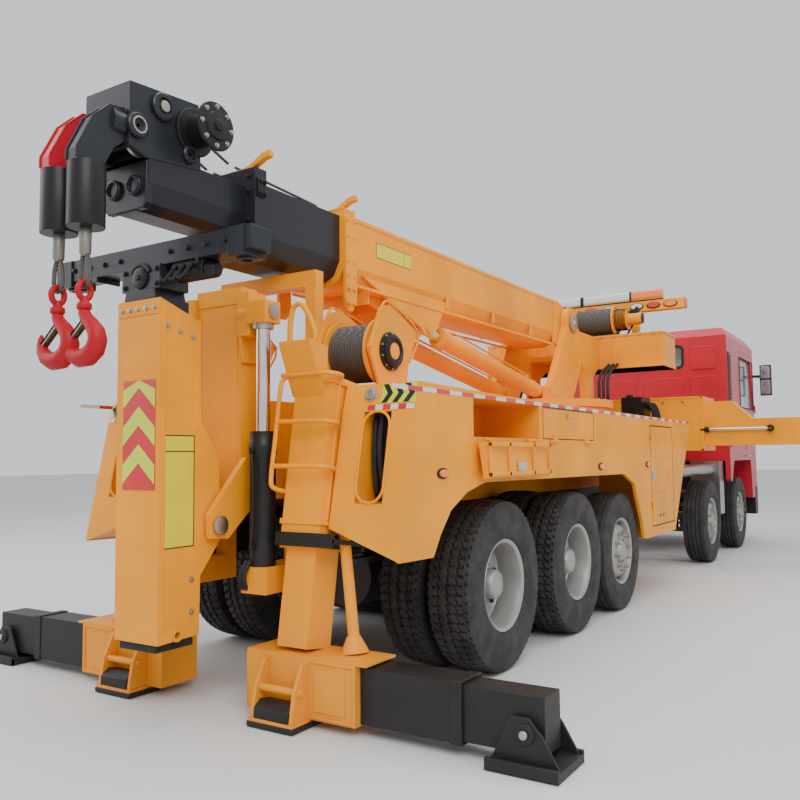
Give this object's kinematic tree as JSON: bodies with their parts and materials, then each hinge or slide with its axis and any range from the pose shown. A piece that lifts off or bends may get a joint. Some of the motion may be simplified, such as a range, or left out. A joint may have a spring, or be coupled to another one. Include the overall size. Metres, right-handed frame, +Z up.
{
  "type": "rotator recovery truck",
  "caption": "Five-axle heavy recovery truck with slewing telescopic boom, swing heads, folding underlift, drag winches and deployed outriggers.",
  "frame": {"origin": "middle of the truck's outline on the ground", "axes": "front of the truck towards -Y, +X to the truck's left, +Z up"},
  "size_m": [6.7, 12.276, 3.37],
  "materials": {
    "yellow_paint": "gloss paint",
    "red_paint": "gloss paint",
    "dark_paint": "satin paint",
    "black_paint": "satin paint",
    "cast_iron": "rough",
    "steel": "brushed",
    "chrome": "polished",
    "glass": "clear",
    "trim": "matte",
    "tyre": "matte"
  },
  "bodies": {
    "truck": {"chassis_frame": "black_paint", "engine_block": "cast_iron", "axles": "cast_iron", "exhaust_system": "steel", "side_bodies": "yellow_paint", "deck": "yellow_paint", "rear_frame": "yellow_paint", "drag_winches": "yellow_paint", "cab_shell": "red_paint", "cab_glass": "glass", "cab_interior": "trim", "front_bumper": "black_paint", "mirrors": "black_paint", "outrigger_housing": "yellow_paint", "hydraulic_unit": "black_paint"},
    "cab_door_right": {"cab_door_right": "red_paint"},
    "drop_door_1_right": {"drop_door_1_right": "yellow_paint"},
    "drop_door_2_right": {"drop_door_2_right": "yellow_paint"},
    "tall_door_right": {"tall_door_right": "yellow_paint"},
    "cab_door_left": {"cab_door_left": "red_paint"},
    "drop_door_1_left": {"drop_door_1_left": "yellow_paint"},
    "drop_door_2_left": {"drop_door_2_left": "yellow_paint"},
    "tall_door_left": {"tall_door_left": "yellow_paint"},
    "knuckle_1_right": {"knuckle_1_right": "cast_iron"},
    "wheel_1_right": {"wheel_1_right": "tyre"},
    "knuckle_1_left": {"knuckle_1_left": "cast_iron"},
    "wheel_1_left": {"wheel_1_left": "tyre"},
    "knuckle_2_right": {"knuckle_2_right": "cast_iron"},
    "wheel_2_right": {"wheel_2_right": "tyre"},
    "knuckle_2_left": {"knuckle_2_left": "cast_iron"},
    "wheel_2_left": {"wheel_2_left": "tyre"},
    "wheel_3_right": {"wheel_3_right": "tyre"},
    "twin_wheels_4_right": {"twin_wheels_4_right": "tyre"},
    "twin_wheels_5_right": {"twin_wheels_5_right": "tyre"},
    "wheel_3_left": {"wheel_3_left": "tyre"},
    "twin_wheels_4_left": {"twin_wheels_4_left": "tyre"},
    "twin_wheels_5_left": {"twin_wheels_5_left": "tyre"},
    "turret": {"turret": "yellow_paint", "turret_winches": "black_paint"},
    "boom_base": {"boom_base": "yellow_paint"},
    "boom_middle": {"boom_middle": "dark_paint"},
    "boom_tip": {"boom_tip": "dark_paint"},
    "lift_cylinders": {"lift_cylinders": "yellow_paint"},
    "lift_rods": {"lift_rods": "chrome"},
    "swing_head_right": {"swing_head_right": "dark_paint"},
    "swing_head_left": {"swing_head_left": "red_paint"},
    "underlift_mast": {"underlift_mast": "yellow_paint"},
    "underlift_arm": {"underlift_arm": "yellow_paint"},
    "crossbar": {"crossbar": "dark_paint"},
    "rear_leg_right": {"rear_leg_right": "yellow_paint"},
    "rear_beam_right": {"rear_beam_right": "black_paint"},
    "rear_foot_right": {"rear_foot_right": "black_paint"},
    "front_beam_right": {"front_beam_right": "yellow_paint"},
    "front_jack_right": {"front_jack_right": "black_paint"},
    "rear_leg_left": {"rear_leg_left": "yellow_paint"},
    "rear_beam_left": {"rear_beam_left": "black_paint"},
    "rear_foot_left": {"rear_foot_left": "black_paint"},
    "front_beam_left": {"front_beam_left": "yellow_paint"},
    "front_jack_left": {"front_jack_left": "black_paint"}
  },
  "joints": [
    {"name": "cab_door_right_hinge", "type": "hinge", "parent": "truck", "child": "cab_door_right", "pos_m": [-1.248, -5.854, 2], "axis": [0, 0, 1], "range_deg": [0, 65]},
    {"name": "drop_door_1_right_hinge", "type": "hinge", "parent": "truck", "child": "drop_door_1_right", "pos_m": [-1.262, 3.62, 1.496], "axis": [0, -1, 0], "range_deg": [-172, 0]},
    {"name": "drop_door_2_right_hinge", "type": "hinge", "parent": "truck", "child": "drop_door_2_right", "pos_m": [-1.262, 3.62, 1.496], "axis": [0, -1, 0], "range_deg": [0, 172]},
    {"name": "tall_door_right_hinge", "type": "hinge", "parent": "truck", "child": "tall_door_right", "pos_m": [-1.262, 0.384, 1.1], "axis": [0, 0, -1], "range_deg": [0, 110]},
    {"name": "cab_door_left_hinge", "type": "hinge", "parent": "truck", "child": "cab_door_left", "pos_m": [1.248, -5.854, 2], "axis": [0, 0, -1], "range_deg": [0, 65]},
    {"name": "drop_door_1_left_hinge", "type": "hinge", "parent": "truck", "child": "drop_door_1_left", "pos_m": [1.262, 3.62, 1.496], "axis": [0, 1, 0], "range_deg": [0, 172]},
    {"name": "drop_door_2_left_hinge", "type": "hinge", "parent": "truck", "child": "drop_door_2_left", "pos_m": [1.262, 3.62, 1.496], "axis": [0, 1, 0], "range_deg": [0, 172]},
    {"name": "tall_door_left_hinge", "type": "hinge", "parent": "truck", "child": "tall_door_left", "pos_m": [1.262, 0.384, 1.1], "axis": [0, 0, 1], "range_deg": [0, 110]},
    {"name": "steer_1_right", "type": "hinge", "parent": "truck", "child": "knuckle_1_right", "pos_m": [-0.81, -4.64, 0.528], "axis": [0, 0, 1], "range_deg": [-38, 38]},
    {"name": "wheel_1_right_spin", "type": "hinge", "parent": "knuckle_1_right", "child": "wheel_1_right", "pos_m": [-1.045, -4.64, 0.528], "axis": [1, 0, 0], "continuous": true},
    {"name": "steer_1_left", "type": "hinge", "parent": "truck", "child": "knuckle_1_left", "pos_m": [0.81, -4.64, 0.528], "axis": [0, 0, 1], "range_deg": [-38, 38]},
    {"name": "wheel_1_left_spin", "type": "hinge", "parent": "knuckle_1_left", "child": "wheel_1_left", "pos_m": [1.045, -4.64, 0.528], "axis": [1, 0, 0], "continuous": true},
    {"name": "steer_2_right", "type": "hinge", "parent": "truck", "child": "knuckle_2_right", "pos_m": [-0.81, -2.69, 0.528], "axis": [0, 0, 1], "range_deg": [-28.5, 28.5]},
    {"name": "wheel_2_right_spin", "type": "hinge", "parent": "knuckle_2_right", "child": "wheel_2_right", "pos_m": [-1.045, -2.69, 0.528], "axis": [1, 0, 0], "continuous": true},
    {"name": "steer_2_left", "type": "hinge", "parent": "truck", "child": "knuckle_2_left", "pos_m": [0.81, -2.69, 0.528], "axis": [0, 0, 1], "range_deg": [-28.5, 28.5]},
    {"name": "wheel_2_left_spin", "type": "hinge", "parent": "knuckle_2_left", "child": "wheel_2_left", "pos_m": [1.045, -2.69, 0.528], "axis": [1, 0, 0], "continuous": true},
    {"name": "wheel_3_right_spin", "type": "hinge", "parent": "truck", "child": "wheel_3_right", "pos_m": [-1.045, 1.14, 0.528], "axis": [1, 0, 0], "continuous": true},
    {"name": "twin_wheels_4_right_spin", "type": "hinge", "parent": "truck", "child": "twin_wheels_4_right", "pos_m": [-0.865, 2.27, 0.555], "axis": [1, 0, 0], "continuous": true},
    {"name": "twin_wheels_5_right_spin", "type": "hinge", "parent": "truck", "child": "twin_wheels_5_right", "pos_m": [-0.865, 3.62, 0.555], "axis": [1, 0, 0], "continuous": true},
    {"name": "wheel_3_left_spin", "type": "hinge", "parent": "truck", "child": "wheel_3_left", "pos_m": [1.045, 1.14, 0.528], "axis": [1, 0, 0], "continuous": true},
    {"name": "twin_wheels_4_left_spin", "type": "hinge", "parent": "truck", "child": "twin_wheels_4_left", "pos_m": [0.865, 2.27, 0.555], "axis": [1, 0, 0], "continuous": true},
    {"name": "twin_wheels_5_left_spin", "type": "hinge", "parent": "truck", "child": "twin_wheels_5_left", "pos_m": [0.865, 3.62, 0.555], "axis": [1, 0, 0], "continuous": true},
    {"name": "slew", "type": "hinge", "parent": "truck", "child": "turret", "pos_m": [0, 0.1, 1.9], "axis": [0, 0, 1], "range_deg": [-150, 150]},
    {"name": "luff", "type": "hinge", "parent": "turret", "child": "boom_base", "pos_m": [0, 0.08, 2.83], "axis": [1, 0, 0], "range_deg": [0, 60]},
    {"name": "boom_extend_1", "type": "slide", "parent": "boom_base", "child": "boom_middle", "axis": [0, 1, 0], "range_m": [0, 2.3]},
    {"name": "boom_extend_2", "type": "slide", "parent": "boom_middle", "child": "boom_tip", "axis": [0, 1, 0], "range_m": [0, 2.3]},
    {"name": "lift_cylinder_hinge", "type": "hinge", "parent": "turret", "child": "lift_cylinders", "pos_m": [0, 0.69, 2.05], "axis": [1, 0, 0], "range_deg": [0, 59.78]},
    {"name": "lift_rod_slide", "type": "slide", "parent": "lift_cylinders", "child": "lift_rods", "axis": [0, 0.9883, 0.1522], "range_m": [0, 0.9901]},
    {"name": "swing_head_right_swing", "type": "hinge", "parent": "boom_tip", "child": "swing_head_right", "pos_m": [-0.105, 5.92, 3.106], "axis": [0, 1, 0], "range_deg": [0, 60]},
    {"name": "swing_head_left_swing", "type": "hinge", "parent": "boom_tip", "child": "swing_head_left", "pos_m": [0.105, 5.92, 3.106], "axis": [0, -1, 0], "range_deg": [0, 60]},
    {"name": "mast_slide", "type": "slide", "parent": "truck", "child": "underlift_mast", "axis": [0, 0, -1], "range_m": [0, 0.3]},
    {"name": "underlift_fold", "type": "hinge", "parent": "underlift_mast", "child": "underlift_arm", "pos_m": [0, 5.256, 1.029], "axis": [-1, 0, 0], "range_deg": [0, 95]},
    {"name": "crossbar_swivel", "type": "hinge", "parent": "underlift_arm", "child": "crossbar", "pos_m": [0, 5.52, 2.4], "axis": [0, 0, 1], "range_deg": [-35, 35]},
    {"name": "rear_leg_right_slide", "type": "slide", "parent": "truck", "child": "rear_leg_right", "axis": [0, -0.1564, 0.9877], "range_m": [0, 0.26]},
    {"name": "rear_beam_right_slide", "type": "slide", "parent": "rear_leg_right", "child": "rear_beam_right", "axis": [1, 0, 0], "range_m": [0, 0.45]},
    {"name": "rear_foot_right_slide", "type": "slide", "parent": "rear_beam_right", "child": "rear_foot_right", "axis": [1, 0, 0], "range_m": [0, 0.13]},
    {"name": "front_beam_right_slide", "type": "slide", "parent": "truck", "child": "front_beam_right", "axis": [1, 0, 0], "range_m": [0, 1]},
    {"name": "front_jack_right_slide", "type": "slide", "parent": "front_beam_right", "child": "front_jack_right", "axis": [0, 0, 1], "range_m": [0, 0.6]},
    {"name": "rear_leg_left_slide", "type": "slide", "parent": "truck", "child": "rear_leg_left", "axis": [0, -0.1564, 0.9877], "range_m": [0, 0.26]},
    {"name": "rear_beam_left_slide", "type": "slide", "parent": "rear_leg_left", "child": "rear_beam_left", "axis": [-1, 0, 0], "range_m": [0, 0.45]},
    {"name": "rear_foot_left_slide", "type": "slide", "parent": "rear_beam_left", "child": "rear_foot_left", "axis": [-1, 0, 0], "range_m": [0, 0.13]},
    {"name": "front_beam_left_slide", "type": "slide", "parent": "truck", "child": "front_beam_left", "axis": [-1, 0, 0], "range_m": [0, 1]},
    {"name": "front_jack_left_slide", "type": "slide", "parent": "front_beam_left", "child": "front_jack_left", "axis": [0, 0, 1], "range_m": [0, 0.6]}
  ],
  "couplings": [
    {"joint": "steer_1_left", "follows": "steer_1_right", "ratio": 1},
    {"joint": "steer_2_right", "follows": "steer_1_right", "ratio": 0.75},
    {"joint": "steer_2_left", "follows": "steer_1_right", "ratio": 0.75},
    {"joint": "boom_extend_2", "follows": "boom_extend_1", "ratio": 1},
    {"joint": "lift_cylinder_hinge", "follows": "luff", "ratio": 0.99631},
    {"joint": "lift_rod_slide", "follows": "luff", "m_per_rad": 0.94542}
  ]
}
